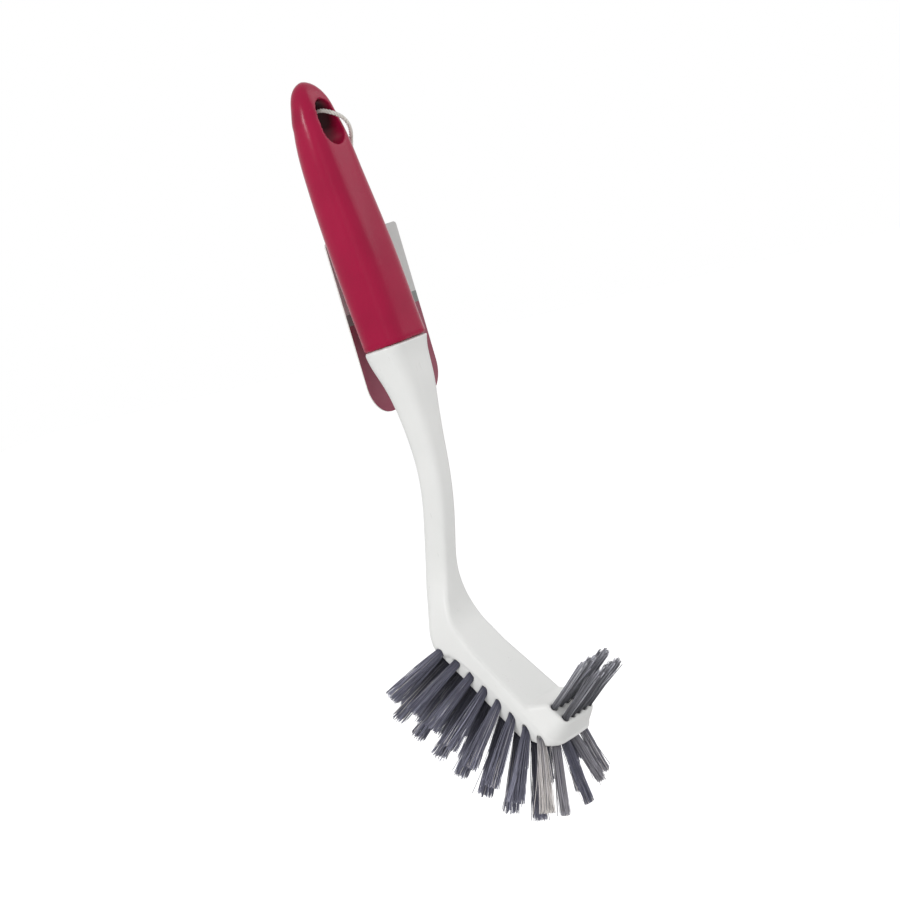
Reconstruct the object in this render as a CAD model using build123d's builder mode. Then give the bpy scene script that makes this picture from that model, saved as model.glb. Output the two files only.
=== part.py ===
from build123d import *
import math
import os

# A dish brush hanging by the hole in its grip.
# +Z is up, +X is the front, where the short scraper tufts stand, and Y runs across the brush.
# The origin is the middle of the hanging hole, half way through the grip. Lengths are in mm.

# Grip: a sleeve with a rounded crown, thickest at its lower end
grip_reach = 89.8            # hole to lower end
grip_set = 6.5               # how far the lower end stands forward of the hole
grip_lean = 4.5              # degrees that the lower end leans forward
grip_width = 26.5
grip_depth = 21.4
eye_width = 20.9             # section at the hanging hole
eye_depth = 13.7
crown_rise = 18.1            # hole to top
eye_low_radius = 6.3         # the hanging hole is an egg of two circles
eye_low_drop = 3.1
eye_top_radius = 5.0
eye_top_rise = 4.4

# Neck and head, moulded in one piece
heel_set = -3.7              # middle of the heel section, where neck and head meet
heel_drop = 209.1
waist_width = 9.4
waist_depth = 11.6
heel_width = 21.8
heel_depth = 15.8
head_tilt = 38.5             # degrees between the head's parting plane and straight down
head_set = -3.4              # start of the parting plane, on the middle of the brush
head_drop = 204.6
head_length = 65.0
deck_height = 2.2            # top of the head over the parting plane
deck_heel_width = 22.2
deck_tip_width = 28.2
block_inset = 2.0            # start of the tuft block, inside the heel
block_heel_width = 21.1
block_tip_width = 31.2
block_heel_depth = 10.7
belly_end = 50.0             # where the underside turns up toward the tip
belly_end_depth = 11.3
block_tip_depth = 1.6
block_draft = 2.0            # degrees
bevel_top = 3.0              # start of the side bevels, under the parting plane
bevel_lean = 17.5            # degrees that a side bevel leans in
tip_round = 6.6
tip_bulge = 0.6

# Raised nose at the tip, which carries the scraper tufts
nose_height = 8.7
nose_start = 43.0
nose_ledge = 0.25            # step from the block's rim to the nose
nose_top_start = 51.2
nose_top_end = 62.7
nose_top_width = 23.0
nose_top_round = 3.8
nose_back_round = 2.0
nose_edge_round = 1.3

# Tang and its socket in the grip
land_height = 0.5            # shadow gap between grip and neck
land_inset = 1.1
tang_width = 13.0
tang_depth = 9.0
tang_tip_width = 10.6
tang_tip_depth = 6.8
tang_length = 54.0
tang_round = 2.2
socket_clearance = 0.15
socket_end_room = 1.0

# Main tufts: bundles of bristle in drilled holes that fan out along the head.
# The outer rows stand in the side bevels, the others in the underside.
tuft_radius = 1.65
tuft_clearance = 0.1
tuft_sink = 0.9              # the plug's face under the drilled surface
tuft_plug = 2.4
tuft_pitch = 8.0
tuft_first = 3.5
outer_count = 8
outer_drop = 7.6             # root of an outer tuft under the parting plane
outer_rise = 4.4             # how much higher the roots stand at the tip
outer_rise_power = 6
second_inset = 2.4
outer_heel_length = 28.0
outer_tip_length = 27.5
inner_heel_length = 36.0
inner_tip_length = 28.5
tuft_strands = 7
bundle_sides = 12            # sides of a packed bundle and of its hole
heel_fan = -9.5              # degrees that a tuft leans toward the tip
tip_fan = 57.0
fan_bend_share = 0.45
outer_splay = 24.0           # degrees that a tuft leans out sideways
second_splay = 9.0
end_run = 60.5
end_fan = 58.0
end_fan_drop = 8.0           # how much less the side ones of the end row lean
end_splay = 25.0
end_length = 30.0
end_count = 3
end_pitch = 6.0

# Scraper tufts: short stiff bundles, square to the nose
scraper_radius = 1.45
scraper_plug = 2.6
scraper_length = 24.0
scraper_strands = 9
scraper_pitch = 4.5
scraper_count = 5
scraper_back_row = 54.0
scraper_front_row = 60.0
scraper_sink = 0.6

# One bristle strand, three sided
strand_radius = 0.42
strand_root = 0.4            # how deep a strand goes into its plug
strand_flare = 1.7           # degrees from the middle of the bundle
strand_edge = 0.14           # from the strands of the ring to the plug's rim
strand_sides = 3
length_play_share = 0.035    # uneven trim

# Anchor plates that wedge the tufts at the bottom of their holes
anchor_height = 1.4
anchor_thickness = 0.4
anchor_gap = 0.2

# Card tag behind the grip
tag_width = 50.4
tag_height = 71.2
tag_thickness = 0.6
tag_middle = 20.3            # across the brush
tag_back = 9.6               # plane of its rear face behind the hanging hole
tag_top = 45.2
tag_corner = 1.6
tag_foot_round = 12.5
tag_hole_radius = 2.3
tag_hole_drop = 8.1

# String and knot
string_radius = 0.7
string_pair = 0.95           # half the distance between the two strands in the tag's hole
string_sides = 6
bend_share = 0.45            # of the shorter run that a bend takes up
knot_radius = 1.9
knot_gap = 0.3
knot_sides = 12
knot_shares = [
    # place and size along the knot
    (-1.0, 0.55),
    (-0.6, 0.95),
    (0.0, 1.0),
    (0.6, 0.95),
    (1.0, 0.55),
]

cut_overrun = 4.0

# Shares of the grip's path and section, from its lower end to the hole
grip_shares = [
    # drop, set, lean, growth from the eye section to the full one
    (1.0, 1.0, 1.0, 1.0),
    (0.713, 0.675, 1.0, 1.01),
    (0.445, 0.367, 1.0, 0.88),
    (0.223, 0.120, 0.9, 0.62),
    (0.111, 0.035, 0.65, 0.40),
    (0.0, 0.0, 0.2, 0.0),
]
crown_shares = [
    # rise, set back and size as shares of the eye section
    (0.376, 0.02, 0.87),
    (0.672, 0.05, 0.70),
    (0.876, 0.08, 0.46),
    (0.968, 0.09, 0.24),
    (1.0, 0.10, 0.08),
]
front_round_share = 0.75
back_round_share = 0.93

# Shares of the neck's path: drop and set from the grip's end to the heel, and lean in degrees
# with it the growth of width and depth over the waist, and the corner rounds
funnel_shares = [
    # drop, set, lean, width, depth, front round, back round
    (0.123, 1.118, 3.6, 0.643, 0.571, 0.70, 0.85),
    (0.228, 1.167, 0.5, 0.374, 0.327, 0.70, 0.81),
    (0.329, 1.137, -2.7, 0.190, 0.160, 0.67, 0.75),
    (0.4375, 1.049, -7.2, 0.090, 0.055, 0.62, 0.69),
    (0.5465, 0.814, -13.4, 0.035, 0.020, 0.53, 0.63),
    (0.6555, 0.441, -16.5, 0.0, 0.0, 0.41, 0.59),
]
bend_shares = [
    (0.739, 0.147, -14.4, 0.0, 0.0, 0.35, 0.59),
    (0.819, -0.049, -8.1, 0.226, 0.05, 0.30, 0.60),
    (0.8985, -0.118, 1.3, 0.66, 0.095, 0.28, 0.60),
    (1.0, 0.0, 20.0, 1.0, 1.0, 0.21, 0.50),
]
deck_shares = [
    # run along the head, growth of width, then shares of deck height and block depth:
    # top, round of the top edges, bottom, round of the bottom edges, and lean in degrees
    (0.12, 0.0, 1.85, 0.64, 0.895, 0.56, 33.0),
    (0.246, 0.25, 1.35, 0.64, 0.42, 0.095, 35.5),
    (0.769, 1.0, 0.95, 0.64, 0.17, 0.09, 35.5),
]

os.makedirs("parts", exist_ok=True)


def direction(tilt):
    """Unit vector along the brush, turned by tilt degrees from straight down toward the front."""
    turn = math.radians(tilt)
    return Vector(math.sin(turn), 0, -math.cos(turn))


def face_normal(tilt):
    """Unit vector square to direction(tilt), toward the front."""
    turn = math.radians(tilt)
    return Vector(math.cos(turn), 0, math.sin(turn))


def cross_plane(x, z, tilt):
    """Plane square to the brush's path, its local X toward the front."""
    return Plane(origin=(x, 0, z), x_dir=face_normal(tilt), z_dir=-direction(tilt))


def cross_section(plane, width, depth, front_round, back_round):
    """Rounded section of the grip or neck, with a flatter front and a rounder back."""
    with BuildSketch(plane) as section:
        Rectangle(depth, width)
        fillet(section.vertices().group_by(Axis.X)[-1], front_round)
        fillet(section.vertices().group_by(Axis.X)[0], back_round)
    return section.sketch


def blend(start, end, share):
    """Size between start and end."""
    return start + (end - start) * share


# The head's own plane: local X runs from the heel to the tip, local Z is the way the scraper points
head_plane = Plane(
    origin=(head_set, 0, -head_drop), x_dir=direction(head_tilt), z_dir=face_normal(head_tilt)
)


def underside_plane(start_run, start_depth, end_run, end_depth):
    """Plane across the tuft block's underside, its local Z up into the block."""
    rise = math.degrees(math.atan2(start_depth - end_depth, end_run - start_run))
    return Plane(
        origin=head_plane.from_local_coords((start_run, 0, -start_depth)),
        x_dir=direction(head_tilt + rise),
        z_dir=face_normal(head_tilt + rise),
    )


def block_half_width(run):
    """Half the tuft block's width at the parting plane."""
    return blend(block_heel_width, block_tip_width, run / head_length) / 2


def block_depth(run):
    """Depth of the tuft block under the parting plane."""
    belly = blend(block_heel_depth, belly_end_depth, run / belly_end)
    slope = blend(belly_end_depth, block_tip_depth, (run - belly_end) / (head_length - belly_end))
    return min(belly, slope)


def bevel_place(run, drop):
    """How far from the middle of the head a side bevel is, at a drop under the parting plane."""
    wall_inset = bevel_top * math.tan(math.radians(block_draft))
    return block_half_width(run) - wall_inset - (drop - bevel_top) * math.tan(math.radians(bevel_lean))


def bevel_plane(side):
    """Plane of the near (-1) or far (1) side bevel, its local Z out of the block."""
    start = head_plane.from_local_coords((0, side * bevel_place(0, bevel_top), -bevel_top))
    end = head_plane.from_local_coords(
        (head_length, side * bevel_place(head_length, bevel_top), -bevel_top)
    )
    foot = head_plane.from_local_coords(
        (0, side * bevel_place(0, block_heel_depth), -block_heel_depth)
    )
    along = end - start
    return Plane(origin=start, x_dir=along, z_dir=along.cross(foot - start) * side)


def tang_sections(start_plane, clearance, end_room):
    """Root and tip outlines of the tang, or of its socket when there is clearance."""
    outlines = []
    for plane, width, depth in (
        (start_plane, tang_width, tang_depth),
        (start_plane.offset(tang_length + end_room), tang_tip_width, tang_tip_depth),
    ):
        with BuildSketch(plane) as outline:
            RectangleRounded(depth + 2 * clearance, width + 2 * clearance, tang_round + clearance)
        outlines.append(outline.sketch)
    return outlines


# Grip
grip_sections = []
for drop_share, set_share, lean_share, growth_share in grip_shares:
    section_width = blend(eye_width, grip_width, growth_share)
    section_depth = blend(eye_depth, grip_depth, growth_share)
    grip_sections.append(
        cross_section(
            cross_plane(grip_set * set_share, -grip_reach * drop_share, grip_lean * lean_share),
            section_width,
            section_depth,
            section_depth / 2 * front_round_share,
            section_depth / 2 * back_round_share,
        )
    )
for rise_share, back_share, size_share in crown_shares:
    section_depth = eye_depth * size_share
    grip_sections.append(
        cross_section(
            cross_plane(-eye_depth * back_share, crown_rise * rise_share, 0),
            eye_width * size_share,
            section_depth,
            section_depth / 2 * front_round_share,
            section_depth / 2 * back_round_share,
        )
    )
grip_end_plane = cross_plane(grip_set, -grip_reach, grip_lean)

with BuildPart() as grip:
    # Below the hanging hole, then the crown: each keeps its own even spacing of sections
    loft(grip_sections[:len(grip_shares)])
    loft(grip_sections[len(grip_shares) - 1:])
    # Hanging hole, right through from front to back
    with BuildSketch(Plane.YZ) as eye:
        with Locations((0, -eye_low_drop)):
            Circle(eye_low_radius)
        with Locations((0, eye_top_rise)):
            Circle(eye_top_radius)
        make_hull()
    extrude(amount=grip_depth, both=True, mode=Mode.SUBTRACT)
    # Socket for the tang
    loft(
        tang_sections(grip_end_plane, socket_clearance, socket_end_room),
        ruled=True,
        mode=Mode.SUBTRACT,
    )
grip.part.label = "grip"
export_step(grip.part, "parts/grip.step")

# Tuft block: the underside of the head, with a steep bevel along each side and a slope at the tip
with BuildPart() as block:
    with BuildSketch(head_plane) as block_outline:
        with BuildLine():
            Polyline(
                (head_length, -block_half_width(head_length)),
                (block_inset, -block_half_width(block_inset)),
                (block_inset, block_half_width(block_inset)),
                (head_length, block_half_width(head_length)),
            )
            ThreePointArc(
                (head_length, block_half_width(head_length)),
                (head_length + tip_bulge, 0),
                (head_length, -block_half_width(head_length)),
            )
        make_face()
        fillet(block_outline.vertices().group_by(Axis.X)[-1], tip_round)
    extrude(amount=-belly_end_depth - tip_bulge, taper=block_draft)
    split(
        bisect_by=underside_plane(0, block_heel_depth, belly_end, belly_end_depth), keep=Keep.TOP
    )
    split(
        bisect_by=underside_plane(belly_end, belly_end_depth, head_length, block_tip_depth),
        keep=Keep.TOP,
    )
    split(bisect_by=bevel_plane(-1), keep=Keep.BOTTOM)
    split(bisect_by=bevel_plane(1), keep=Keep.BOTTOM)

# Nose: a raised pad that slopes up from the head's top and carries the scraper tufts
with BuildPart() as nose:
    with BuildSketch(head_plane) as nose_foot:
        with BuildLine():
            Polyline(
                (nose_start, -block_half_width(nose_start) + nose_ledge),
                (head_length - nose_ledge, -block_half_width(head_length) + nose_ledge),
                (head_length - nose_ledge, block_half_width(head_length) - nose_ledge),
                (nose_start, block_half_width(nose_start) - nose_ledge),
                close=True,
            )
        make_face()
        fillet(nose_foot.vertices().group_by(Axis.X)[-1], tip_round)
        fillet(nose_foot.vertices().group_by(Axis.X)[0], nose_back_round)
    with BuildSketch(head_plane.offset(nose_height)) as nose_top:
        with Locations(((nose_top_start + nose_top_end) / 2, 0)):
            Rectangle(nose_top_end - nose_top_start, nose_top_width)
        fillet(nose_top.vertices().group_by(Axis.X)[-1], nose_top_round)
        fillet(nose_top.vertices().group_by(Axis.X)[0], nose_back_round)
    loft(ruled=True)
    pad = nose.faces().filter_by(head_plane).sort_by(Axis.Z)[-1]
    fillet(pad.edges(), nose_edge_round)

# Tufts: root planes, whose local Z points along the tuft, out of the head
def tuft_plane(run, side, drop, fan, splay):
    """Root of a main tuft, at a drop under the head's parting plane."""
    root = head_plane.from_local_coords((run, side, -drop))
    lean = math.radians(fan)
    spread = math.radians(splay)
    along = direction(head_tilt) * math.sin(lean) - face_normal(head_tilt) * math.cos(lean)
    out = along * math.cos(spread) + Vector(0, 1, 0) * math.sin(spread)
    return Plane(origin=root, x_dir=Vector(0, 1, 0).cross(out), z_dir=out)


def fan_angle(run):
    """Lean of a tuft toward the tip, which grows faster near the tip."""
    share = run / head_length
    return blend(heel_fan, tip_fan, fan_bend_share * share + (1 - fan_bend_share) * share**2)


main_planes = {}
for index in range(outer_count):
    run = tuft_first + tuft_pitch * index
    drop = outer_drop - outer_rise * (run / head_length) ** outer_rise_power
    for side, name in ((-1, "near"), (1, "far")):
        main_planes[f"tuft_outer_{name}_{index + 1}"] = tuft_plane(
            run, side * bevel_place(run, drop), drop, fan_angle(run), side * outer_splay
        )
for index in range(outer_count - 1):
    run = tuft_first + tuft_pitch * (index + 1 / 2)
    drop = block_depth(run)
    for side, name in ((-1, "near"), (1, "far")):
        main_planes[f"tuft_inner_{name}_{index + 1}"] = tuft_plane(
            run,
            side * (bevel_place(run, drop) - second_inset),
            drop,
            fan_angle(run),
            side * second_splay,
        )
for index in range(outer_count - 1):
    run = tuft_first + tuft_pitch * index
    main_planes[f"tuft_middle_{index + 1}"] = tuft_plane(
        run, 0, block_depth(run), fan_angle(run), 0
    )
for index in range(end_count):
    place = 2 * index / (end_count - 1) - 1
    main_planes[f"tuft_end_{index + 1}"] = tuft_plane(
        end_run,
        place * end_pitch,
        block_depth(end_run),
        end_fan - end_fan_drop * abs(place),
        place * end_splay,
    )

scraper_planes = {}
for row, name in ((scraper_back_row, "back"), (scraper_front_row, "front")):
    for index in range(scraper_count):
        place = (index - (scraper_count - 1) / 2) * scraper_pitch
        scraper_planes[f"scraper_{name}_{index + 1}"] = Plane(
            origin=head_plane.from_local_coords((row, place, nose_height)),
            x_dir=head_plane.x_dir,
            z_dir=head_plane.z_dir,
        )

# Brush body: neck, deck of the head, block and nose, tang, and the drilled holes
body_sections = [
    cross_section(
        cross_plane(grip_set, -grip_reach, grip_lean).offset(-land_height),
        grip_width,
        grip_depth,
        grip_depth / 2 * front_round_share,
        grip_depth / 2 * back_round_share,
    )
]
for shares, full_width, full_depth in (
    (funnel_shares, grip_width, grip_depth),
    (bend_shares, heel_width, heel_depth),
):
    for drop_share, set_share, lean, width_share, depth_share, front_share, back_share in shares:
        section_depth = blend(waist_depth, full_depth, depth_share)
        body_sections.append(
            cross_section(
                cross_plane(
                    blend(heel_set, grip_set, set_share),
                    -blend(grip_reach, heel_drop, drop_share),
                    lean,
                ),
                blend(waist_width, full_width, width_share),
                section_depth,
                section_depth / 2 * front_share,
                section_depth / 2 * back_share,
            )
        )
deck_sections = []
for run_share, width_share, top_share, round_share, bottom_share, foot_share, lean in deck_shares:
    run = head_length * run_share
    deck_top = deck_height * top_share
    deck_bottom = -block_heel_depth * bottom_share
    middle = head_plane.from_local_coords((run, 0, (deck_top + deck_bottom) / 2))
    deck_sections.append(
        cross_section(
            cross_plane(middle.X, middle.Z, lean),
            blend(deck_heel_width, deck_tip_width, width_share),
            deck_top - deck_bottom,
            deck_height * round_share,
            block_heel_depth * foot_share,
        )
    )

with BuildPart() as brush_body:
    loft(body_sections + deck_sections[:1])
    loft(deck_sections, ruled=True)
    add(block.part)
    add(nose.part)
    # Land that leaves a shadow gap under the grip
    with BuildSketch(grip_end_plane.offset(-land_height)) as land:
        add(body_sections[0])
        offset(amount=-land_inset)
    extrude(amount=land_height)
    # Tang
    loft(tang_sections(grip_end_plane, 0, 0), ruled=True)
    # Drilled holes
    main_hole_depth = tuft_sink + tuft_plug + anchor_height
    for plane in main_planes.values():
        with BuildSketch(plane.offset(-main_hole_depth)):
            RegularPolygon(tuft_radius + tuft_clearance, bundle_sides)
    extrude(amount=main_hole_depth + cut_overrun, mode=Mode.SUBTRACT)
    scraper_hole_depth = scraper_sink + scraper_plug + anchor_height
    for plane in scraper_planes.values():
        with BuildSketch(plane.offset(-scraper_hole_depth)):
            RegularPolygon(scraper_radius + tuft_clearance, bundle_sides)
    extrude(amount=scraper_hole_depth + cut_overrun, mode=Mode.SUBTRACT)
brush_body.part.label = "brush_body"
export_step(brush_body.part, "parts/brush_body.step")


def strand_planes(base, ring_radius, count):
    """Foot of each strand: one in the middle, the rest in a ring that opens out."""
    planes = [base.offset(-strand_root)]
    flare = math.radians(strand_flare)
    for index in range(count - 1):
        turn = 2 * math.pi * index / (count - 1)
        outward = base.x_dir * math.cos(turn) + base.y_dir * math.sin(turn)
        planes.append(
            Plane(
                origin=base.origin + outward * ring_radius - base.z_dir * strand_root,
                x_dir=outward * math.cos(flare) - base.z_dir * math.sin(flare),
                z_dir=base.z_dir * math.cos(flare) + outward * math.sin(flare),
            )
        )
    return planes


def make_tuft(base, radius, plug, count, length, label):
    """A plug that sits in its hole, with its strands fused to it."""
    with BuildPart() as tuft:
        with BuildSketch(base.offset(-plug)):
            RegularPolygon(radius, bundle_sides)
        extrude(amount=plug)
        for plane in strand_planes(base, radius - strand_radius - strand_edge, count):
            with BuildSketch(plane):
                RegularPolygon(strand_radius, strand_sides)
        extrude(amount=length + strand_root)
    tuft.part.label = label
    export_step(tuft.part, f"parts/{label}.step")


for number, (label, plane) in enumerate(main_planes.items()):
    play = 1 + length_play_share * math.sin(number * math.e)
    run = head_plane.to_local_coords(plane.origin).X
    if "outer" in label:
        length = blend(outer_heel_length, outer_tip_length, run / head_length)
    elif "end" in label:
        length = end_length
    else:
        length = blend(inner_heel_length, inner_tip_length, run / head_length)
    make_tuft(plane.offset(-tuft_sink), tuft_radius, tuft_plug, tuft_strands, length * play, label)
for number, (label, plane) in enumerate(scraper_planes.items()):
    play = 1 + length_play_share * math.sin(number * math.e)
    make_tuft(
        plane.offset(-scraper_sink),
        scraper_radius,
        scraper_plug,
        scraper_strands,
        scraper_length * play,
        label,
    )

# Anchor plates, one under each plug
with BuildPart() as tuft_anchors:
    with Locations(*[Location(plane.offset(-main_hole_depth)) for plane in main_planes.values()]):
        Box(
            anchor_thickness,
            2 * tuft_radius - anchor_gap,
            anchor_height,
            align=(Align.CENTER, Align.CENTER, Align.MIN),
        )
    with Locations(*[Location(plane.offset(-scraper_hole_depth)) for plane in scraper_planes.values()]):
        Box(
            anchor_thickness,
            2 * scraper_radius - anchor_gap,
            anchor_height,
            align=(Align.CENTER, Align.CENTER, Align.MIN),
        )
tuft_anchors.part.label = "tuft_anchors"
export_step(tuft_anchors.part, "parts/tuft_anchors.step")

# Hang tag: a card with small top corners, a well rounded foot and a punched hole
tag_plane = Plane(origin=(-tag_back, tag_middle, -tag_top), x_dir=(0, 1, 0), z_dir=(1, 0, 0))
with BuildPart() as hang_tag:
    with BuildSketch(tag_plane) as card:
        with Locations((0, -tag_height / 2)):
            Rectangle(tag_width, tag_height)
        fillet(card.vertices().group_by(Axis.Y)[-1], tag_corner)
        fillet(card.vertices().group_by(Axis.Y)[0], tag_foot_round)
        with Locations((0, -tag_hole_drop)):
            Circle(tag_hole_radius, mode=Mode.SUBTRACT)
    extrude(amount=tag_thickness)
hang_tag.part.label = "hang_tag"
export_step(hang_tag.part, "parts/hang_tag.step")

# String: both ends go through the tag's hole into the knot, and the loop goes round one side
# of the hanging hole
hole_z = -tag_top - tag_hole_drop
knot_x = -tag_back - knot_gap - knot_radius
string_route = [
    (knot_x, tag_middle + string_pair, hole_z),
    (-6.8, tag_middle + string_pair, hole_z),
    (-4.4, 21.0, -48.9),
    (-4.2, 19.8, -43.0),
    (-3.2, 17.4, -30.0),
    (-0.4, 15.3, -17.5),
    (3.2, 13.9, -8.6),
    (6.8, 11.2, -3.4),
    (9.0, 8.0, 0.2),
    (9.2, 4.9, 2.8),
    (6.9, 2.1, 4.4),
    (3.0, 1.8, 5.1),
    (-1.8, 2.3, 5.1),
    (-6.6, 3.6, 4.5),
    (-9.6, 4.7, 1.0),
    (-10.2, 6.6, -7.0),
    (-9.4, 10.8, -20.0),
    (-6.6, 15.6, -34.0),
    (-4.7, 18.8, -45.0),
    (-4.5, 19.3, -49.4),
    (-7.0, tag_middle - string_pair, hole_z),
    (knot_x, tag_middle - string_pair, hole_z),
]
string_points = [Vector(*point) for point in string_route]
string_bends = []
for before, corner, after in zip(string_points, string_points[1:], string_points[2:]):
    turn = math.radians((corner - before).get_angle(after - corner))
    shorter = min((corner - before).length, (after - corner).length)
    string_bends.append(bend_share * shorter / math.tan(turn / 2))
print("string bend radii", [round(radius, 1) for radius in string_bends])

with BuildPart() as tag_string:
    with BuildLine() as string_path:
        FilletPolyline(*string_points, radius=string_bends)
    with BuildSketch(Plane(string_path.line @ 0, z_dir=string_path.line % 0)):
        RegularPolygon(string_radius, string_sides)
    sweep(path=string_path.line)
tag_string.part.label = "tag_string"
export_step(tag_string.part, "parts/tag_string.step")
string_length = sum(edge.length for edge in string_path.edges())
string_section = string_sides / 2 * string_radius**2 * math.sin(2 * math.pi / string_sides)
print("string length", round(string_length, 1))
print("string volume share", round(tag_string.part.volume / (string_section * string_length), 4))

# Knot behind the tag, a tight barrel that is wider than the punched hole
with BuildPart() as string_knot:
    knot_rings = []
    for place_share, size_share in knot_shares:
        with BuildSketch(Plane.YZ.offset(knot_x + knot_radius * place_share)) as knot_ring:
            with Locations((tag_middle, hole_z)):
                RegularPolygon(knot_radius * size_share, knot_sides)
        knot_rings.append(knot_ring.sketch)
    loft(knot_rings, ruled=True)
string_knot.part.label = "string_knot"
export_step(string_knot.part, "parts/string_knot.step")
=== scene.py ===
import math

import bpy
import numpy as np
from mathutils import Matrix, Vector


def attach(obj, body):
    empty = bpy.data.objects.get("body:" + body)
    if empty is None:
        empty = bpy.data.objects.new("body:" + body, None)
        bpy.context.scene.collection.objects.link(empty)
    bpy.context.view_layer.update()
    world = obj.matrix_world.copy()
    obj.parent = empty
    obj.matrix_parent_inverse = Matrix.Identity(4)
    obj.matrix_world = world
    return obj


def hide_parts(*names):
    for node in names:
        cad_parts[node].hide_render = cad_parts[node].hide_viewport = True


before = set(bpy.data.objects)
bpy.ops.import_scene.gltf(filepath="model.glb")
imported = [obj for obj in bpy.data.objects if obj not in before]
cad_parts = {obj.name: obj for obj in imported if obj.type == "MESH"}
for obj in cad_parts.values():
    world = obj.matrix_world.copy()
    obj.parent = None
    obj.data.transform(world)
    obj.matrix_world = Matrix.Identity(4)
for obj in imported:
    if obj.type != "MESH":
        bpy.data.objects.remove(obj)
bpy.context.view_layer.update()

# Camera. It stands to the near side of the brush and a little in front, about a metre away, and is
# rolled so that the hanging brush lies aslant in the picture.
camera_place = Vector((0.6604, -0.8953, -0.0157))
picture_middle = Vector((0.0201, -0.0037, -0.1351))
camera_roll = math.radians(-16.44)
sensor_width = 36.0
picture_width = 900
focal_pixels = 2838
nearest_seen = 0.05
farthest_seen = 20.0

camera_data = bpy.data.cameras.new("camera")
camera_data.sensor_width = sensor_width
camera_data.lens = sensor_width * focal_pixels / picture_width
camera_data.clip_start = nearest_seen
camera_data.clip_end = farthest_seen
camera = bpy.data.objects.new("camera", camera_data)
bpy.context.scene.collection.objects.link(camera)
looking = (picture_middle - camera_place).to_track_quat("-Z", "Y").to_matrix().to_4x4()
camera.matrix_world = (
    Matrix.Translation(camera_place) @ looking @ Matrix.Rotation(camera_roll, 4, "Z")
)
bpy.context.scene.camera = camera
bpy.context.scene.view_settings.view_transform = "Standard"

# Studio. A pale floor under the brush, a small lamp from the left of the camera, a soft one beside the
# camera that the gloss doesn't show, a large one from the right, and an even white surround that the camera and the
# gloss see at full white.
floor_height = -0.35
floor_size = 6.0
floor_colour = (0.8, 0.8, 0.8, 1.0)
floor_lift = 0.63
room_light = 0.50
lamps = {
    # place, width, power in watts, whether gloss shows it
    "key_lamp": ((-0.36, -1.08, 0.44), 0.17, 4.4, True),
    "near_lamp": ((0.55, -1.00, 0.15), 0.6, 3.0, False),
    "front_lamp": ((0.88, 0.78, 0.55), 1.1, 5.0, True),
}


def clear_selection():
    """Nothing selected, so that an operator works only on what is added next."""
    bpy.ops.object.select_all(action="DESELECT")


def new_material(name):
    """An empty material, and its nodes, links and shader."""
    material = bpy.data.materials.new(name)
    material.use_nodes = True
    tree = material.node_tree
    return material, tree.nodes, tree.links, tree.nodes["Principled BSDF"]


clear_selection()
bpy.ops.mesh.primitive_plane_add(size=floor_size, location=(0, 0, floor_height))
floor = bpy.context.object
floor.name = "floor"
floor_material, nodes, links, shader = new_material("floor")
shader.inputs["Base Color"].default_value = floor_colour
shader.inputs["Roughness"].default_value = 0.9
light_path = nodes.new("ShaderNodeLightPath")
lift = nodes.new("ShaderNodeMath")
lift.operation = "MULTIPLY"
lift.inputs[1].default_value = floor_lift
links.new(light_path.outputs["Is Camera Ray"], lift.inputs[0])
glow = nodes.new("ShaderNodeEmission")
links.new(lift.outputs["Value"], glow.inputs["Strength"])
sum_of_both = nodes.new("ShaderNodeAddShader")
links.new(shader.outputs["BSDF"], sum_of_both.inputs[0])
links.new(glow.outputs["Emission"], sum_of_both.inputs[1])
links.new(sum_of_both.outputs["Shader"], nodes["Material Output"].inputs["Surface"])
floor.data.materials.append(floor_material)

for lamp_name, (lamp_place, lamp_width, lamp_power, in_gloss) in lamps.items():
    lamp_data = bpy.data.lights.new(lamp_name, "AREA")
    lamp_data.shape = "DISK"
    lamp_data.size = lamp_width
    lamp_data.energy = lamp_power
    lamp = bpy.data.objects.new(lamp_name, lamp_data)
    lamp.visible_glossy = in_gloss
    bpy.context.scene.collection.objects.link(lamp)
    aim = picture_middle - Vector(lamp_place)
    lamp.matrix_world = (
        Matrix.Translation(lamp_place) @ aim.to_track_quat("-Z", "Y").to_matrix().to_4x4()
    )

room = bpy.data.worlds.new("room")
room.use_nodes = True
bpy.context.scene.world = room
nodes, links = room.node_tree.nodes, room.node_tree.links
surround = nodes["Background"]
surround.inputs["Color"].default_value = (1.0, 1.0, 1.0, 1.0)
light_path = nodes.new("ShaderNodeLightPath")
seen = nodes.new("ShaderNodeMath")
seen.operation = "MAXIMUM"
links.new(light_path.outputs["Is Camera Ray"], seen.inputs[0])
links.new(light_path.outputs["Is Glossy Ray"], seen.inputs[1])
seen_or_through = nodes.new("ShaderNodeMath")
seen_or_through.operation = "MAXIMUM"
links.new(seen.outputs["Value"], seen_or_through.inputs[0])
links.new(light_path.outputs["Is Transmission Ray"], seen_or_through.inputs[1])
strength = nodes.new("ShaderNodeMapRange")
strength.inputs["To Min"].default_value = room_light
strength.inputs["To Max"].default_value = 1.0
links.new(seen_or_through.outputs["Value"], strength.inputs["Value"])
links.new(strength.outputs["Result"], surround.inputs["Strength"])

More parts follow.
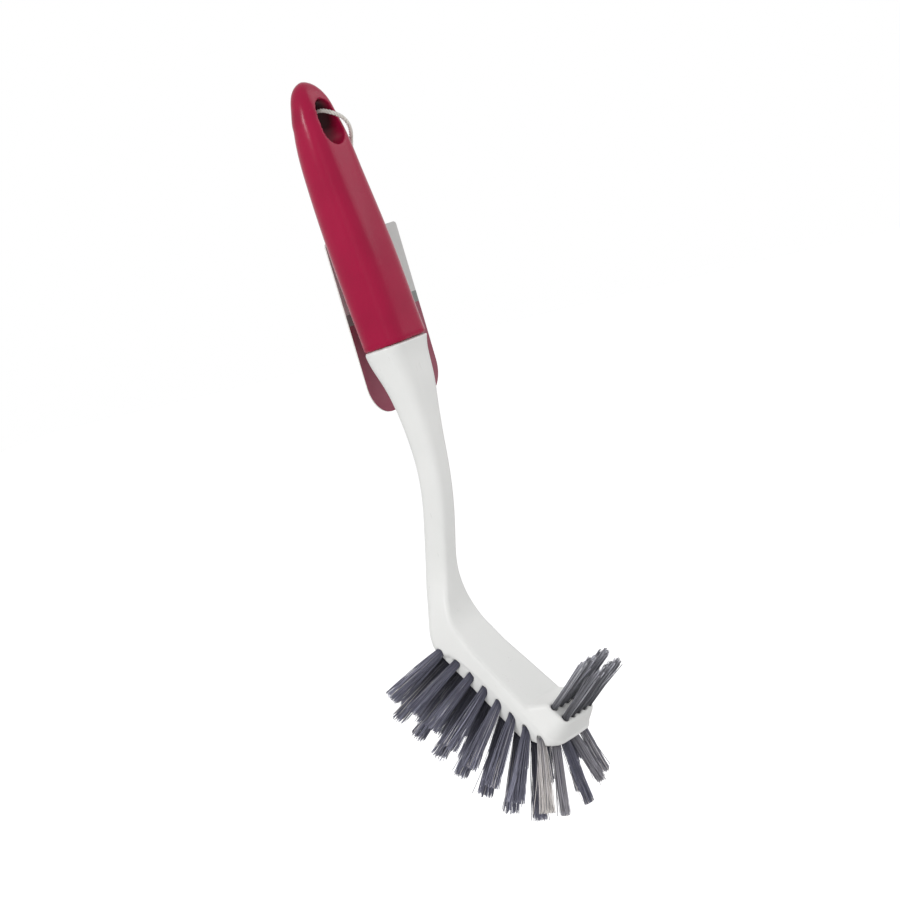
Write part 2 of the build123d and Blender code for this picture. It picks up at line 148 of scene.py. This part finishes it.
# String. White cotton twine of three twisted plies, threaded through the tag, up through the
# hanging hole, over the side of it and back down, where both ends meet in a knot behind the tag.
string_route = [
    (-0.0118, 0.02125, -0.0533),
    (-0.0068, 0.02125, -0.0533),
    (-0.0044, 0.0210, -0.0489),
    (-0.0042, 0.0198, -0.0430),
    (-0.0032, 0.0174, -0.0300),
    (-0.0002, 0.0158, -0.0186),
    (0.0032, 0.0143, -0.0104),
    (0.0069, 0.0117, -0.0058),
    (0.0089, 0.0084, -0.0022),
    (0.0092, 0.0046, 0.0010),
    (0.0072, 0.0016, 0.0034),
    (0.0030, 0.0018, 0.0051),
    (-0.0018, 0.0023, 0.0051),
    (-0.0066, 0.0036, 0.0045),
    (-0.0096, 0.0047, 0.0010),
    (-0.0102, 0.0066, -0.0070),
    (-0.0094, 0.0108, -0.0200),
    (-0.0066, 0.0156, -0.0340),
    (-0.0047, 0.0188, -0.0450),
    (-0.0045, 0.0193, -0.0494),
    (-0.0070, 0.01935, -0.0533),
    (-0.0118, 0.01935, -0.0533),
]
ply_radius = 0.00044
ply_offset = 0.00043
ply_count = 3
ply_sides = 6
twist_pitch = 0.0042
ring_step = 0.0004
cotton_colour = (0.82, 0.80, 0.75, 1.0)
cotton_shade = (0.66, 0.63, 0.58, 1.0)


def smooth_line(name, route, steps):
    """Points along the smooth line that the route's points control."""
    curve = bpy.data.curves.new(name, "CURVE")
    curve.dimensions = "3D"
    curve.resolution_u = steps
    spline = curve.splines.new("NURBS")
    spline.points.add(len(route) - 1)
    for point, place in zip(spline.points, route):
        point.co = (*place, 1.0)
    spline.order_u = 3
    spline.use_endpoint_u = True
    holder = bpy.data.objects.new(name, curve)
    bpy.context.scene.collection.objects.link(holder)
    line = bpy.data.meshes.new_from_object(holder)
    places = np.array([vertex.co[:] for vertex in line.vertices])
    bpy.data.objects.remove(holder)
    bpy.data.curves.remove(curve)
    bpy.data.meshes.remove(line)
    return places


def even_steps(places, step):
    """The same line with its points one step apart."""
    run = np.concatenate([[0], np.cumsum(np.linalg.norm(np.diff(places, axis=0), axis=1))])
    even = np.linspace(0, run[-1], max(2, round(run[-1] / step)))
    return np.stack([np.interp(even, run, places[:, axis]) for axis in range(3)], axis=1), even


def carried_axes(places):
    """Two directions square to the line at each point, carried along it without turning."""
    along = np.gradient(places, axis=0)
    along /= np.linalg.norm(along, axis=1)[:, None]
    side = np.cross(along[0], (0.0, 0.0, 1.0))
    sides = []
    for direction in along:
        side = side - direction * (side @ direction)
        side /= np.linalg.norm(side)
        sides.append(side)
    sides = np.array(sides)
    return sides, np.cross(along, sides)


def twisted_twine(name, route, steps):
    """Plies wound round each other along the route, as one mesh, and the line that they follow."""
    places, even = even_steps(smooth_line(name, route, steps), ring_step)
    sides, ups = carried_axes(places)
    points, faces = [], []
    for ply in range(ply_count):
        turn = 2 * np.pi * (even / twist_pitch + ply / ply_count)
        middle = places + ply_offset * (np.cos(turn)[:, None] * sides + np.sin(turn)[:, None] * ups)
        first = len(points)
        for centre, side, up in zip(middle, sides, ups):
            for corner in range(ply_sides):
                angle = 2 * np.pi * corner / ply_sides
                points.append(centre + ply_radius * (np.cos(angle) * side + np.sin(angle) * up))
        for ring in range(len(middle) - 1):
            for corner in range(ply_sides):
                here = first + ring * ply_sides + corner
                beside = first + ring * ply_sides + (corner + 1) % ply_sides
                faces.append((here, beside, beside + ply_sides, here + ply_sides))
        faces.append(tuple(first + corner for corner in reversed(range(ply_sides))))
        last = first + (len(middle) - 1) * ply_sides
        faces.append(tuple(last + corner for corner in range(ply_sides)))
    mesh = bpy.data.meshes.new(name)
    mesh.from_pydata([tuple(point) for point in points], [], faces)
    mesh.shade_smooth()
    piece = bpy.data.objects.new(name, mesh)
    bpy.context.scene.collection.objects.link(piece)
    return piece, places


def surface_play_group():
    """Node group: fine grain as a normal, and a slow change of tone and roughness."""
    group = bpy.data.node_groups.new("surface_play", "ShaderNodeTree")
    for socket, kind in (
        ("Grain Scale", "NodeSocketFloat"),
        ("Grain Depth", "NodeSocketFloat"),
        ("Play Scale", "NodeSocketFloat"),
        ("Roughness Low", "NodeSocketFloat"),
        ("Roughness High", "NodeSocketFloat"),
    ):
        group.interface.new_socket(socket, in_out="INPUT", socket_type=kind)
    for socket, kind in (
        ("Tone", "NodeSocketFloat"),
        ("Roughness", "NodeSocketFloat"),
        ("Normal", "NodeSocketVector"),
    ):
        group.interface.new_socket(socket, in_out="OUTPUT", socket_type=kind)
    nodes, links = group.nodes, group.links
    given = nodes.new("NodeGroupInput")
    result = nodes.new("NodeGroupOutput")
    place = nodes.new("ShaderNodeTexCoord")
    grain = nodes.new("ShaderNodeTexNoise")
    grain.inputs["Detail"].default_value = 3.0
    links.new(place.outputs["Object"], grain.inputs["Vector"])
    links.new(given.outputs["Grain Scale"], grain.inputs["Scale"])
    bump = nodes.new("ShaderNodeBump")
    bump.inputs["Strength"].default_value = 0.6
    links.new(given.outputs["Grain Depth"], bump.inputs["Distance"])
    links.new(grain.outputs["Fac"], bump.inputs["Height"])
    play = nodes.new("ShaderNodeTexNoise")
    play.inputs["Detail"].default_value = 4.0
    play.inputs["Distortion"].default_value = 0.4
    links.new(place.outputs["Object"], play.inputs["Vector"])
    links.new(given.outputs["Play Scale"], play.inputs["Scale"])
    spread = nodes.new("ShaderNodeMapRange")
    spread.inputs["From Min"].default_value = 0.3
    spread.inputs["From Max"].default_value = 0.7
    links.new(play.outputs["Fac"], spread.inputs["Value"])
    gloss = nodes.new("ShaderNodeMapRange")
    links.new(spread.outputs["Result"], gloss.inputs["Value"])
    links.new(given.outputs["Roughness Low"], gloss.inputs["To Min"])
    links.new(given.outputs["Roughness High"], gloss.inputs["To Max"])
    links.new(spread.outputs["Result"], result.inputs["Tone"])
    links.new(gloss.outputs["Result"], result.inputs["Roughness"])
    links.new(bump.outputs["Normal"], result.inputs["Normal"])
    return group


surface_play = surface_play_group()


def play_node(nodes, grain_scale, grain_depth, play_scale, roughness_low, roughness_high):
    """The surface_play group placed in a material with its own values."""
    node = nodes.new("ShaderNodeGroup")
    node.node_tree = surface_play
    node.inputs["Grain Scale"].default_value = grain_scale
    node.inputs["Grain Depth"].default_value = grain_depth
    node.inputs["Play Scale"].default_value = play_scale
    node.inputs["Roughness Low"].default_value = roughness_low
    node.inputs["Roughness High"].default_value = roughness_high
    return node


def mixed_colour(nodes, links, share, first, second):
    """A colour between two others, each a colour or another node's output."""
    mix = nodes.new("ShaderNodeMix")
    mix.data_type = "RGBA"
    for socket, value in ((mix.inputs[6], first), (mix.inputs[7], second)):
        if isinstance(value, tuple):
            socket.default_value = value
        else:
            links.new(value, socket)
    if isinstance(share, float):
        mix.inputs["Factor"].default_value = share
    else:
        links.new(share, mix.inputs["Factor"])
    return mix.outputs[2]


cotton, nodes, links, shader = new_material("cotton_twine")
play = play_node(nodes, 6000.0, 0.0001, 900.0, 0.75, 0.95)
links.new(mixed_colour(nodes, links, play.outputs["Tone"], cotton_shade, cotton_colour), shader.inputs["Base Color"])
links.new(play.outputs["Roughness"], shader.inputs["Roughness"])
links.new(play.outputs["Normal"], shader.inputs["Normal"])
shader.inputs["Sheen Weight"].default_value = 0.3

tag_string, string_line = twisted_twine("twine_loop", string_route, 24)
tag_string.data.materials.append(cotton)
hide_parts("tag_string")
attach(tag_string, "string")

# Knot. The twine's two ends are tied together behind the tag in an overhand knot, wider than the
# punched hole, with short cut ends left hanging from it.
knot_middle = Vector((-0.0117, 0.0203, -0.0533))
knot_size = 0.00039
knot_turns = [
    (0.0, -2.6, 1.2),
    (1.0, -1.2, 0.9),
    (2.4, 0.9, -0.9),
    (1.2, 2.6, -1.1),
    (-0.9, 2.2, 0.9),
    (-1.7, 0.2, 1.1),
    (-0.4, -2.2, -0.8),
    (1.9, -2.0, -1.2),
    (2.7, 0.0, 0.8),
    (0.9, 1.6, 1.3),
    (-2.3, 1.4, -0.7),
    (-2.7, -0.9, -1.1),
    (-1.0, -1.9, 0.9),
]
cut_ends = [
    [(0.4, -1.4, -0.4), (1.6, -4.6, -1.4), (2.9, -9.2, -1.0), (3.4, -13.6, 0.2)],
    [(-0.4, -1.4, -0.6), (-1.8, -4.2, -1.8), (-2.2, -8.4, -2.4), (-4.2, -12.2, -1.4)],
]


def knot_place(across, rise, back):
    """A point of the knot, in metres, from its own small axes."""
    return knot_middle + Vector((back, across, rise)) * knot_size


string_knot, _ = twisted_twine("twine_knot", [knot_place(*turn) for turn in knot_turns], 16)
clear_selection()
for number, cut_end in enumerate(cut_ends):
    end_piece, _ = twisted_twine(f"cut_end_{number}", [knot_place(*turn) for turn in cut_end], 12)
    end_piece.select_set(True)
string_knot.select_set(True)
bpy.context.view_layer.objects.active = string_knot
bpy.ops.object.join()
string_knot.data.materials.append(cotton)
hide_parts("string_knot")
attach(string_knot, "string")

# Hang tag. A stiff printed card, die cut with a well rounded foot and punched once for the string:
# pale grey over a darker band and a plum field, with the bare white board along its cut edges.
card_pale = (0.58, 0.58, 0.57, 1.0)
card_band = (0.235, 0.25, 0.24, 1.0)
card_plum = (0.285, 0.062, 0.100, 1.0)
card_board = (0.82, 0.81, 0.78, 1.0)
card_back = (0.70, 0.69, 0.66, 1.0)
band_top = -0.0745
band_foot = -0.0790


def math_node(nodes, links, operation, first, second=None):
    """One arithmetic step on sockets or numbers."""
    node = nodes.new("ShaderNodeMath")
    node.operation = operation
    for socket, value in zip(node.inputs, (first, second)):
        if isinstance(value, (int, float)):
            socket.default_value = value
        elif value is not None:
            links.new(value, socket)
    return node.outputs["Value"]


card, nodes, links, shader = new_material("printed_card")
play = play_node(nodes, 4200.0, 0.00003, 60.0, 0.32, 0.46)
place = nodes.new("ShaderNodeTexCoord")
height = nodes.new("ShaderNodeSeparateXYZ")
links.new(place.outputs["Object"], height.inputs["Vector"])
surface = nodes.new("ShaderNodeNewGeometry")
facing = nodes.new("ShaderNodeSeparateXYZ")
links.new(surface.outputs["True Normal"], facing.inputs["Vector"])
over_foot = math_node(nodes, links, "GREATER_THAN", height.outputs["Z"], band_foot)
over_band = math_node(nodes, links, "GREATER_THAN", height.outputs["Z"], band_top)
on_front = math_node(nodes, links, "GREATER_THAN", facing.outputs["X"], 0.7)
on_back = math_node(nodes, links, "LESS_THAN", facing.outputs["X"], -0.7)
printed = mixed_colour(nodes, links, over_foot, card_plum, card_band)
printed = mixed_colour(nodes, links, over_band, printed, card_pale)
sides = mixed_colour(nodes, links, on_back, card_board, card_back)
colour = mixed_colour(nodes, links, on_front, sides, printed)
worn = mixed_colour(nodes, links, 0.06, colour, card_board)
colour = mixed_colour(nodes, links, play.outputs["Tone"], colour, worn)
links.new(colour, shader.inputs["Base Color"])
links.new(play.outputs["Roughness"], shader.inputs["Roughness"])
links.new(play.outputs["Normal"], shader.inputs["Normal"])
shader.inputs["Specular IOR Level"].default_value = 0.18
hang_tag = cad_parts["hang_tag"]
hang_tag.data.materials.clear()
hang_tag.data.materials.append(card)

# Grip. A sleeve of raspberry-red plastic with a satin gloss, moulded over the tang, with an
# egg-shaped hanging hole near its crown, its inside darkened with painted shade. Its edges have the small rounds of
# a moulding.
grip_grid = 0.00042
grip_smoothing = 5
ridge_smoothing = 340
rim_height = -0.0935
rim_fade = 0.030
eye_low, eye_low_radius = -0.0031, 0.0063
eye_top, eye_top_radius = 0.0044, 0.0050
eye_margin = 0.0005
eye_fade = 0.014
grip_red = (0.37, 0.0075, 0.050, 1.0)
grip_deep = (0.325, 0.0065, 0.044, 1.0)
scuff_colour = (0.52, 0.14, 0.20, 1.0)
# Painted shade: the near-black red deep in the hanging hole, in place of the shadow inside it.
hole_painted_shade = (0.04, 0.0008, 0.005, 1.0)
hole_shade_middle = (-0.0005, 0.0, 0.0015)
hole_shade_reach = (0.0085, 0.0105, 0.0120)


def moulded_copy(node, name, grid, smoothing, soft_smoothing, soft_part):
    """A piece with a CAD node's shape, its edges rounded as they leave the mould, one part more."""
    clear_selection()
    piece = bpy.data.objects.new(name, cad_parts[node].data.copy())
    piece.data.materials.clear()
    bpy.context.scene.collection.objects.link(piece)
    bpy.context.view_layer.objects.active = piece
    piece.select_set(True)
    bpy.ops.object.mode_set(mode="EDIT")
    bpy.ops.mesh.select_all(action="SELECT")
    bpy.ops.mesh.remove_doubles(threshold=0.000002)
    bpy.ops.object.mode_set(mode="OBJECT")
    skin = piece.modifiers.new("skin", "REMESH")
    skin.mode = "VOXEL"
    skin.voxel_size = grid
    bpy.ops.object.modifier_apply(modifier=skin.name)
    rounding = piece.modifiers.new("rounding", "SMOOTH")
    rounding.factor = 0.5
    rounding.iterations = smoothing
    bpy.ops.object.modifier_apply(modifier=rounding.name)
    soft = piece.vertex_groups.new(name="soft_part")
    for vertex in piece.data.vertices:
        share = soft_part(vertex.co)
        if share > 0:
            soft.add([vertex.index], share, "REPLACE")
    melting = piece.modifiers.new("melting", "SMOOTH")
    melting.factor = 0.5
    melting.iterations = soft_smoothing
    melting.vertex_group = soft.name
    bpy.ops.object.modifier_apply(modifier=melting.name)
    piece.data.shade_smooth()
    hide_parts(node)
    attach(piece, "brush")
    return piece


def scuff_group():
    """Node group: sparse hairline scuffs as a mask."""
    group = bpy.data.node_groups.new("hairline_scuffs", "ShaderNodeTree")
    group.interface.new_socket("Scale", in_out="INPUT", socket_type="NodeSocketFloat")
    group.interface.new_socket("Rarity", in_out="INPUT", socket_type="NodeSocketFloat")
    group.interface.new_socket("Mask", in_out="OUTPUT", socket_type="NodeSocketFloat")
    nodes, links = group.nodes, group.links
    given = nodes.new("NodeGroupInput")
    result = nodes.new("NodeGroupOutput")
    place = nodes.new("ShaderNodeTexCoord")
    stretch = nodes.new("ShaderNodeMapping")
    stretch.inputs["Rotation"].default_value = (0.3, 0.2, 0.1)
    stretch.inputs["Scale"].default_value = (1.0, 1.0, 0.07)
    links.new(place.outputs["Object"], stretch.inputs["Vector"])
    lines = nodes.new("ShaderNodeTexNoise")
    lines.inputs["Detail"].default_value = 1.0
    links.new(stretch.outputs["Vector"], lines.inputs["Vector"])
    links.new(given.outputs["Scale"], lines.inputs["Scale"])
    patches = nodes.new("ShaderNodeTexNoise")
    patches.inputs["Scale"].default_value = 90.0
    links.new(place.outputs["Object"], patches.inputs["Vector"])
    both = math_node(nodes, links, "MULTIPLY", lines.outputs["Fac"], patches.outputs["Fac"])
    over = math_node(nodes, links, "SUBTRACT", both, given.outputs["Rarity"])
    sharp = math_node(nodes, links, "MULTIPLY", over, 25.0)
    limit = nodes.new("ShaderNodeClamp")
    links.new(sharp, limit.inputs["Value"])
    links.new(limit.outputs["Result"], result.inputs["Mask"])
    return group


hairline_scuffs = scuff_group()

grip_plastic, nodes, links, shader = new_material("raspberry_plastic")
play = play_node(nodes, 2600.0, 0.000025, 45.0, 0.20, 0.27)
scuffs = nodes.new("ShaderNodeGroup")
scuffs.node_tree = hairline_scuffs
scuffs.inputs["Scale"].default_value = 2400.0
scuffs.inputs["Rarity"].default_value = 0.475
colour = mixed_colour(nodes, links, play.outputs["Tone"], grip_deep, grip_red)
# Painted shade: the base colour darkens towards the middle of the hanging hole.
place = nodes.new("ShaderNodeTexCoord")
within = nodes.new("ShaderNodeMapping")
within.vector_type = "TEXTURE"
within.inputs["Location"].default_value = hole_shade_middle
within.inputs["Scale"].default_value = hole_shade_reach
links.new(place.outputs["Object"], within.inputs["Vector"])
inwards = nodes.new("ShaderNodeTexGradient")
inwards.gradient_type = "SPHERICAL"
links.new(within.outputs["Vector"], inwards.inputs["Vector"])
hole_shade_share = math_node(nodes, links, "MULTIPLY", inwards.outputs["Fac"], 2.8)
hole_shade_share.node.use_clamp = True
colour = mixed_colour(nodes, links, hole_shade_share, colour, hole_painted_shade)
colour = mixed_colour(nodes, links, scuffs.outputs["Mask"], colour, scuff_colour)
links.new(colour, shader.inputs["Base Color"])
links.new(play.outputs["Roughness"], shader.inputs["Roughness"])
links.new(play.outputs["Normal"], shader.inputs["Normal"])
shader.inputs["Specular IOR Level"].default_value = 0.16


def ridge_share(place):
    """How much a point of the grip belongs to its long soft ridges, away from the hole and the rim."""
    over_rim = (place.z - rim_height) / rim_fade
    rise = max(0.0, min(1.0, (place.z - eye_low) / (eye_top - eye_low)))
    eye_radius = eye_low_radius + rise * (eye_top_radius - eye_low_radius)
    eye_middle = eye_low + rise * (eye_top - eye_low)
    off_eye = math.hypot(place.y, place.z - eye_middle) - eye_radius - eye_margin
    return max(0.0, min(1.0, over_rim, off_eye / eye_fade))


grip = moulded_copy("grip", "grip_sleeve", grip_grid, grip_smoothing, ridge_smoothing, ridge_share)
grip.data.materials.append(grip_plastic)

# Brush body. Neck and head are one moulding in white plastic, slightly soft looking, with a thin
# parting line along the side of the head and a drilled hole for each tuft.
body_grid = 0.00047
body_smoothing = 6
neck_smoothing = 40
neck_top = -0.100
neck_foot = -0.196
neck_fade = 0.015
body_white = (0.82, 0.82, 0.805, 1.0)
body_shade = (0.79, 0.795, 0.78, 1.0)
body_scuff = (0.66, 0.66, 0.64, 1.0)

body_plastic, nodes, links, shader = new_material("white_plastic")
play = play_node(nodes, 2200.0, 0.00002, 38.0, 0.30, 0.42)
scuffs = nodes.new("ShaderNodeGroup")
scuffs.node_tree = hairline_scuffs
scuffs.inputs["Scale"].default_value = 2000.0
scuffs.inputs["Rarity"].default_value = 0.475
colour = mixed_colour(nodes, links, play.outputs["Tone"], body_shade, body_white)
colour = mixed_colour(nodes, links, scuffs.outputs["Mask"], colour, body_scuff)
links.new(colour, shader.inputs["Base Color"])
links.new(play.outputs["Roughness"], shader.inputs["Roughness"])
links.new(play.outputs["Normal"], shader.inputs["Normal"])


def neck_share(place):
    """How much a point belongs to the neck between the grip and the heel, which has no hard edge."""
    under_grip = (neck_top - place.z) / neck_fade
    over_heel = (place.z - neck_foot) / neck_fade
    return max(0.0, min(1.0, under_grip, over_heel))


body = moulded_copy("brush_body", "neck_and_head", body_grid, body_smoothing, neck_smoothing, neck_share)
body.data.materials.append(body_plastic)

# Anchors. Small plates of plated steel that wedge each folded tuft at the bottom of its hole.
plate, nodes, links, shader = new_material("plated_steel")
play = play_node(nodes, 5000.0, 0.00001, 300.0, 0.25, 0.45)
colour = mixed_colour(nodes, links, play.outputs["Tone"], (0.45, 0.45, 0.44, 1.0), (0.60, 0.60, 0.58, 1.0))
links.new(colour, shader.inputs["Base Color"])
links.new(play.outputs["Roughness"], shader.inputs["Roughness"])
links.new(play.outputs["Normal"], shader.inputs["Normal"])
shader.inputs["Metallic"].default_value = 1.0
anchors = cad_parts["tuft_anchors"]
anchors.data.materials.clear()
anchors.data.materials.append(plate)

# Main tufts. Each is a bundle of about a hundred nylon bristles, folded over its anchor and pulled
# tight in a drilled hole, packed at the root and fanning out to an unevenly trimmed tip.
bristle_radius = 0.00014
bristle_sides = 3
bristle_joints = (0.25, 0.5, 0.75)
bundle_radius = 0.00158
bundle_bristles = 112
bundle_fan = 1.95
tip_scatter = 0.00030
bow_play = 0.0004
trim_play = 0.075
stray_share = 0.04
stray_fan = 0.0015
root_cover = 0.0008
golden_turn = math.pi * (3 - math.sqrt(5))
bristle_dark = (0.135, 0.135, 0.182, 1.0)
bristle_light = (0.56, 0.56, 0.72, 1.0)
# Painted highlight: the colour of the glints painted on a few strands; the lighter tufts turn to it too.
bristle_glint = (1.0, 0.95, 0.91, 1.0)
# Painted shade: the near-black that the inner rows' bristles turn to at the root.
bristle_painted_shade = (0.02, 0.02, 0.028, 1.0)
tuft_shade = {
    "tuft_outer_near_8": 1.0,
    "tuft_end_1": 0.35,
    "tuft_end_3": 0.30,
    "tuft_outer_far_8": 0.25,
}
# Painted shade: a negative value darkens a row's bristles towards the root, in place of the shadow of the outer
# rows.
row_painted_shade = {
    "inner": -1.0,
    "middle": -1.0,
}
tip_lean = {
    "tuft_outer_near_8": (0.0024, 0.0006, 0.0),
    "tuft_end_1": (0.0036, 0.0010, 0.0),
}
row_reach = {
    "inner": 1.08,
    "middle": 1.08,
}
heel_reach = 1.05
tight_fan = 1.2
tight_tufts = ("tuft_end_1", "tuft_end_2", "tuft_end_3", "tuft_outer_far_8", "tuft_inner_far_7")


def one_bristle(name, sides, radius, joints):
    """A thin rod of unit length from z = 0 to 1, cut across at its joints so that it can bow."""
    clear_selection()
    bpy.ops.mesh.primitive_cylinder_add(vertices=sides, radius=radius, depth=1.0, location=(0, 0, 0.5))
    rod = bpy.context.object
    rod.name = name
    bpy.ops.object.transform_apply(location=True, rotation=True, scale=True)
    bpy.ops.object.mode_set(mode="EDIT")
    for joint in joints:
        bpy.ops.mesh.select_all(action="SELECT")
        bpy.ops.mesh.bisect(plane_co=(0, 0, joint), plane_no=(0, 0, 1))
    bpy.ops.object.mode_set(mode="OBJECT")
    points = np.array([vertex.co[:] for vertex in rod.data.vertices])
    faces = [tuple(face.vertices) for face in rod.data.polygons]
    bpy.data.objects.remove(rod)
    return points, faces


def tuft_axis(node):
    """Foot and tip of a tuft's axis, read from its CAD node."""
    points = np.array([vertex.co[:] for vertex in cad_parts[node].data.vertices])
    points = np.unique(points.round(6), axis=0)
    spread = points - points.mean(axis=0)
    along = np.linalg.svd(spread, full_matrices=False)[2][0]
    reach = spread @ along
    plug_zone = 0.0035
    if (reach < reach.min() + plug_zone).sum() < (reach > reach.max() - plug_zone).sum():
        reach = -reach
    foot = points[reach < reach.min() + plug_zone / 7].mean(axis=0)
    tip = points[reach > reach.max() - plug_zone].mean(axis=0)
    return foot, tip


def bristle_bundle(name, node, rod, count, radius, reach, fan, scatter, bow, trim, chance):
    """A tuft: the rod copied over a packed disc, each copy fanned, bowed and trimmed by chance."""
    rod_points, rod_faces = rod
    foot, tip = tuft_axis(node)
    tip = tip + np.array(tip_lean.get(node, (0.0, 0.0, 0.0)))
    along = (tip - foot) / np.linalg.norm(tip - foot)
    foot = foot + along * root_cover
    length = np.linalg.norm(tip - foot) * reach
    side = np.cross(along, (0.0, 1.0, 0.0))
    side /= np.linalg.norm(side)
    up = np.cross(along, side)
    points, faces, tones, runs = [], [], [], []
    for number in range(count):
        ring = radius * math.sqrt((number + 0.5) / count)
        turn = number * golden_turn
        root = np.array((math.cos(turn), math.sin(turn))) * ring
        end = root * fan + chance.normal(0, scatter, 2)
        if chance.random() < stray_share:
            end = end + chance.normal(0, stray_fan, 2)
        bend = chance.normal(0, bow, 2)
        cut = length * (1 - trim * chance.random() ** 2)
        spin = chance.random() * 2 * math.pi
        turned_x = rod_points[:, 0] * math.cos(spin) - rod_points[:, 1] * math.sin(spin)
        turned_y = rod_points[:, 0] * math.sin(spin) + rod_points[:, 1] * math.cos(spin)
        run = rod_points[:, 2]
        opening = run**1.35
        across = root + np.outer(opening, end - root) + np.outer(4 * run * (1 - run), bend)
        first = len(points) * len(rod_points)
        points.append(
            foot
            + np.outer(across[:, 0] + turned_x, side)
            + np.outer(across[:, 1] + turned_y, up)
            + np.outer(run * cut, along)
        )
        faces.extend(tuple(first + corner for corner in face) for face in rod_faces)
        tones.append(np.full(len(rod_points), chance.random()))
        runs.append(run)
    mesh = bpy.data.meshes.new(name)
    mesh.from_pydata(np.concatenate(points).tolist(), [], faces)
    mesh.shade_smooth()
    for label, values in (("bristle_tone", tones), ("bristle_run", runs)):
        layer = mesh.attributes.new(label, "FLOAT", "POINT")
        layer.data.foreach_set("value", np.concatenate(values).astype(np.float32))
    # A positive value lightens a tuft; a negative value paints shade at its root.
    shade = tuft_shade.get(node, row_painted_shade.get(node.split("_")[1], 0.0))
    layer = mesh.attributes.new("bundle_tone_and_painted_shade", "FLOAT", "POINT")
    layer.data.foreach_set("value", np.full(len(mesh.vertices), shade, np.float32))
    piece = bpy.data.objects.new(name, mesh)
    bpy.context.scene.collection.objects.link(piece)
    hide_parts(node)
    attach(piece, "brush")
    return piece


def bristle_material(name, dark, light, glint):
    """Nylon whose tone changes from bristle to bristle, with painted shade towards each bristle's root, deeper
    painted shade at the root of the inner rows, and painted glints on a few strands.
    """
    material, nodes, links, shader = new_material(name)
    tone = nodes.new("ShaderNodeAttribute")
    tone.attribute_name = "bristle_tone"
    run = nodes.new("ShaderNodeAttribute")
    run.attribute_name = "bristle_run"
    bundle = nodes.new("ShaderNodeAttribute")
    bundle.attribute_name = "bundle_tone_and_painted_shade"
    play = play_node(nodes, 3000.0, 0.00001, 400.0, 0.28, 0.42)
    spread = math_node(nodes, links, "POWER", tone.outputs["Fac"], 2.2)
    # Painted shade along each bristle: its lighter tone shows only towards the tip, and the root stays dark.
    painted_tipward_light = math_node(nodes, links, "POWER", run.outputs["Fac"], 0.8)
    share = math_node(nodes, links, "MULTIPLY", spread, painted_tipward_light)
    colour = mixed_colour(nodes, links, share, dark, light)
    # Painted highlights: a few strands turn to the glint colour, more towards the tip; tufts with a positive value
    # turn to it from near the root.
    painted_glint_strands = math_node(nodes, links, "GREATER_THAN", tone.outputs["Fac"], 0.93)
    shown = math_node(nodes, links, "MULTIPLY_ADD", tone.outputs["Fac"], 2.2)
    shown.node.inputs[2].default_value = 0.05
    shown.node.use_clamp = True
    bright = math_node(nodes, links, "MULTIPLY", shown, bundle.outputs["Fac"])
    early = math_node(nodes, links, "POWER", run.outputs["Fac"], 0.25)
    bright = math_node(nodes, links, "MULTIPLY", bright, early)
    painted_glint_strands = math_node(nodes, links, "MULTIPLY", painted_glint_strands, math_node(nodes, links, "MULTIPLY", painted_tipward_light, 0.95))
    glinting = math_node(nodes, links, "MAXIMUM", painted_glint_strands, bright)
    colour = mixed_colour(nodes, links, glinting, colour, glint)
    # Painted shade: bristles with a negative value turn near-black towards the root.
    painted_shade_rows = math_node(nodes, links, "MULTIPLY", bundle.outputs["Fac"], -0.9)
    painted_shade_rows.node.use_clamp = True
    rootward = math_node(nodes, links, "SUBTRACT", 1.0, run.outputs["Fac"])
    painted_root_shade = math_node(nodes, links, "MULTIPLY", painted_shade_rows, rootward)
    colour = mixed_colour(nodes, links, painted_root_shade, colour, bristle_painted_shade)
    links.new(colour, shader.inputs["Base Color"])
    links.new(play.outputs["Roughness"], shader.inputs["Roughness"])
    shader.inputs["Specular IOR Level"].default_value = 0.45
    return material


bristle_rod = one_bristle("bristle", bristle_sides, bristle_radius, bristle_joints)
main_nylon = bristle_material("grey_nylon", bristle_dark, bristle_light, bristle_glint)
chance = np.random.default_rng(7)
main_tufts = sorted(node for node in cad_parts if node.startswith("tuft_") and node != "tuft_anchors")
for node in main_tufts:
    reach = row_reach.get(node.split("_")[1], 1.0)
    if node.endswith("_1"):
        reach = heel_reach
    tuft = bristle_bundle(
        f"bristles_{node[5:]}",
        node,
        bristle_rod,
        bundle_bristles,
        bundle_radius,
        reach,
        tight_fan if node in tight_tufts else bundle_fan * chance.uniform(0.88, 1.1),
        tip_scatter,
        bow_play,
        trim_play,
        chance,
    )
    tuft.data.materials.append(main_nylon)

# Scraper tufts. Shorter, stiffer and thicker bristles in two rows on the raised nose, straight and
# close together, with ragged cut tips.
stiff_radius = 0.00019
stiff_joints = (0.5,)
stiff_bundle_radius = 0.00128
stiff_bristles = 46
stiff_reach = 1.07
stiff_fan = 1.22
stiff_scatter = 0.00016
stiff_bow = 0.00012
stiff_trim = 0.16
stiff_dark = (0.16, 0.16, 0.180, 1.0)
stiff_light = (0.90, 0.90, 1.0, 1.0)
# Painted highlight colour for a few stiff strands.
stiff_glint = (0.86, 0.86, 0.88, 1.0)

stiff_rod = one_bristle("stiff_bristle", bristle_sides, stiff_radius, stiff_joints)
stiff_nylon = bristle_material("stiff_nylon", stiff_dark, stiff_light, stiff_glint)
scraper_tufts = sorted(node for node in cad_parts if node.startswith("scraper_"))
for node in scraper_tufts:
    tuft = bristle_bundle(
        f"bristles_{node}",
        node,
        stiff_rod,
        stiff_bristles,
        stiff_bundle_radius,
        stiff_reach,
        stiff_fan,
        stiff_scatter,
        stiff_bow,
        stiff_trim,
        chance,
    )
    tuft.data.materials.append(stiff_nylon)
